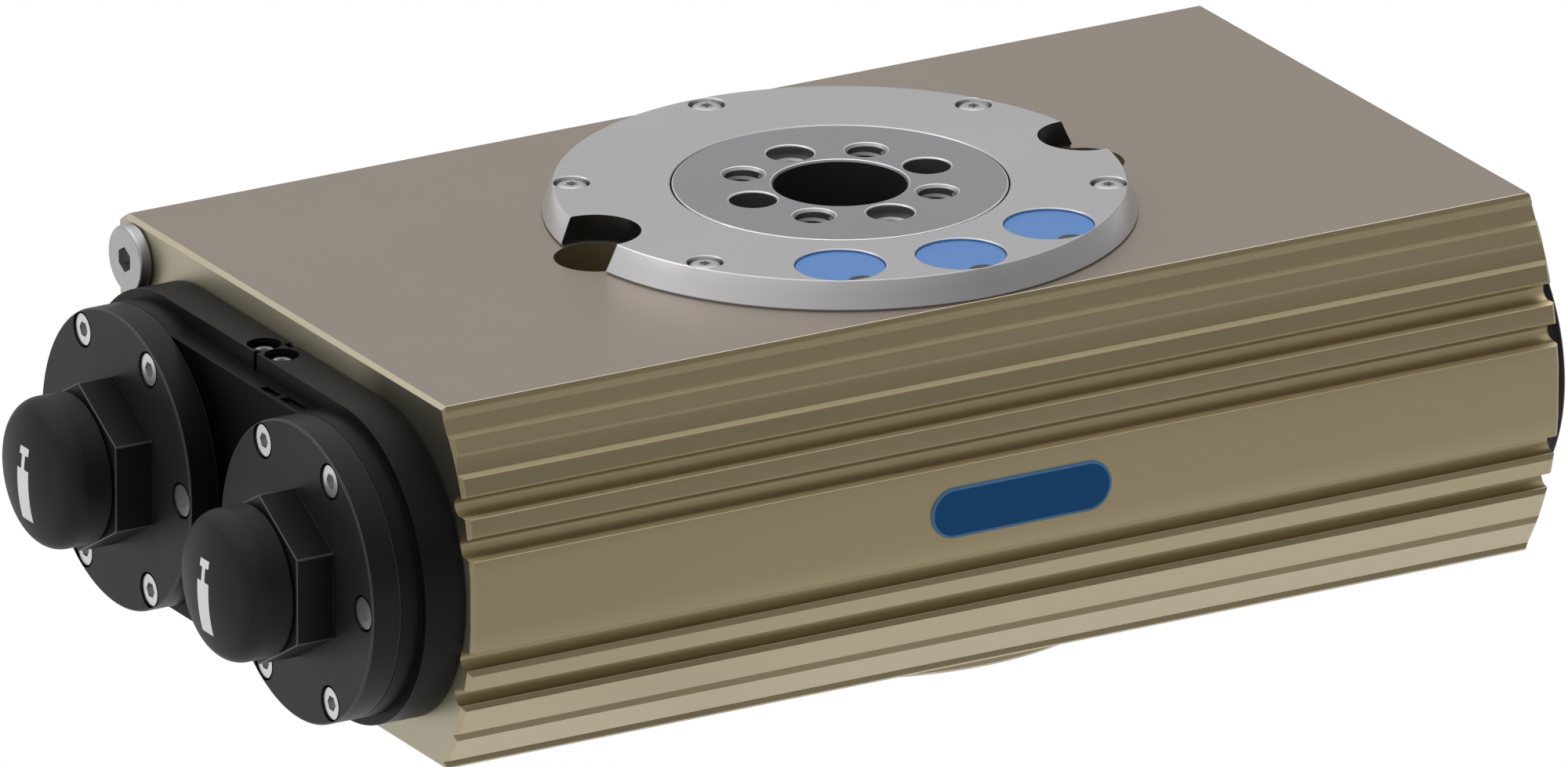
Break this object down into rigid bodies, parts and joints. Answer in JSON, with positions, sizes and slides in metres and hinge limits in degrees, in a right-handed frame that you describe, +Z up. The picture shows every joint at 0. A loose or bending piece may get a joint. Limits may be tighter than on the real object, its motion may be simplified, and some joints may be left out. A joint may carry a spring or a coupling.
{
  "type": "pneumatic swivel unit",
  "caption": "Flat double-rack pneumatic swivel unit with a hollow pinion face, ribbed aluminium housing and capped shock absorbers on one end.",
  "frame": {"origin": "on the pinion axis, in the plane of the bottom cover's lower face, the lowest face of the unit", "axes": "+X along the two piston bores, with the shock absorbers at the -X end; -Y towards the ribbed side with the badge; +Z up along the pinion axis towards the output face"},
  "size_m": [0.308, 0.1512, 0.088],
  "materials": {
    "olive_anodised": "satin anodised, olive to champagne",
    "ring_grey": "satin",
    "pinion_steel": "satin grey",
    "screw_steel": "bright",
    "bearing_steel": "ground",
    "cover_blue": "satin light blue",
    "badge_blue": "dark blue, bare",
    "black_anodised": "satin black",
    "cap_black": "matt black",
    "seal_rubber": "matt",
    "guide_plastic": "smooth",
    "magnet_grey": "dull",
    "piston_aluminium": "turned",
    "plug_silver": "bright nickel"
  },
  "bodies": {
    "housing_unit": {"badge_plate": "badge_blue", "bottom_cover": "olive_anodised", "bottom_cover_screws": "screw_steel", "cover_screws": "screw_steel", "cover_seals": "seal_rubber", "end_plate": "black_anodised", "end_plate_gasket": "seal_rubber", "front_cylinder_cover": "black_anodised", "housing": "olive_anodised", "lower_bearing_outer_ring": "bearing_steel", "lower_bearing_shields": "seal_rubber", "port_cover_1": "cover_blue", "port_cover_2": "cover_blue", "port_cover_3": "cover_blue", "port_plug": "plug_silver", "port_plug_seal": "seal_rubber", "rear_cylinder_cover": "black_anodised", "right_cover": "black_anodised", "right_cover_gasket": "seal_rubber", "right_cover_screws": "screw_steel", "ring_screws": "screw_steel", "shaft_seal": "seal_rubber", "top_ring": "ring_grey", "upper_bearing_outer_ring": "bearing_steel", "upper_bearing_shields": "seal_rubber"},
    "pinion": {"pinion": "pinion_steel", "pinion_nut": "bearing_steel", "upper_bearing_inner_ring": "bearing_steel", "lower_bearing_inner_ring": "bearing_steel"},
    "front_piston": {"front_piston": "piston_aluminium", "front_piston_seals": "seal_rubber", "front_piston_magnets": "magnet_grey", "front_guide_rings": "guide_plastic"},
    "rear_piston": {"rear_piston": "piston_aluminium", "rear_piston_seals": "seal_rubber", "rear_piston_magnets": "magnet_grey", "rear_guide_rings": "guide_plastic"},
    "front_stop": {"front_stop_sleeve": "black_anodised", "front_damper_body": "bearing_steel"},
    "rear_stop": {"rear_stop_sleeve": "black_anodised", "rear_damper_body": "bearing_steel"},
    "front_plunger": {"front_plunger": "bearing_steel"},
    "rear_plunger": {"rear_plunger": "bearing_steel"},
    "front_cap": {"front_damper_cap": "cap_black"},
    "rear_cap": {"rear_damper_cap": "cap_black"},
    "throttle_1": {"throttle_screw_1": "screw_steel"},
    "throttle_2": {"throttle_screw_2": "screw_steel"}
  },
  "joints": [
    {"name": "pinion_turn", "type": "hinge", "parent": "housing_unit", "child": "pinion", "pos_m": [0, 0, 0.044], "axis": [0, 0, 1], "range_deg": [-90, 90]},
    {"name": "front_piston_slide", "type": "slide", "parent": "housing_unit", "child": "front_piston", "axis": [1, 0, 0], "range_m": [-0.03456, 0.03456]},
    {"name": "rear_piston_slide", "type": "slide", "parent": "housing_unit", "child": "rear_piston", "axis": [1, 0, 0], "range_m": [-0.03456, 0.03456]},
    {"name": "front_stop_turn", "type": "hinge", "parent": "housing_unit", "child": "front_stop", "pos_m": [-0.14, -0.03865, 0.0418], "axis": [-1, 0, 0], "range_deg": [-180, 180]},
    {"name": "front_plunger_slide", "type": "slide", "parent": "front_stop", "child": "front_plunger", "axis": [-1, 0, 0], "range_m": [0, 0.012], "stiffness_N_per_m": 400, "springref_m": -0.003},
    {"name": "front_cap_pull", "type": "slide", "parent": "front_stop", "child": "front_cap", "axis": [-1, 0, 0], "range_m": [0, 0.02]},
    {"name": "rear_stop_turn", "type": "hinge", "parent": "housing_unit", "child": "rear_stop", "pos_m": [-0.14, 0.03865, 0.0418], "axis": [-1, 0, 0], "range_deg": [-180, 180]},
    {"name": "rear_plunger_slide", "type": "slide", "parent": "rear_stop", "child": "rear_plunger", "axis": [-1, 0, 0], "range_m": [0, 0.012], "stiffness_N_per_m": 400, "springref_m": -0.003},
    {"name": "rear_cap_pull", "type": "slide", "parent": "rear_stop", "child": "rear_cap", "axis": [-1, 0, 0], "range_m": [0, 0.02]},
    {"name": "throttle_1_turn", "type": "hinge", "parent": "housing_unit", "child": "throttle_1", "pos_m": [-0.13645, 0.0027, 0.07], "axis": [0, 0, 1], "range_deg": [-180, 180]},
    {"name": "throttle_2_turn", "type": "hinge", "parent": "housing_unit", "child": "throttle_2", "pos_m": [-0.13645, -0.00475, 0.07], "axis": [0, 0, 1], "range_deg": [-180, 180]}
  ],
  "couplings": [
    {"joint": "front_piston_slide", "follows": "pinion_turn", "m_per_rad": 0.022},
    {"joint": "rear_piston_slide", "follows": "pinion_turn", "m_per_rad": -0.022}
  ]
}
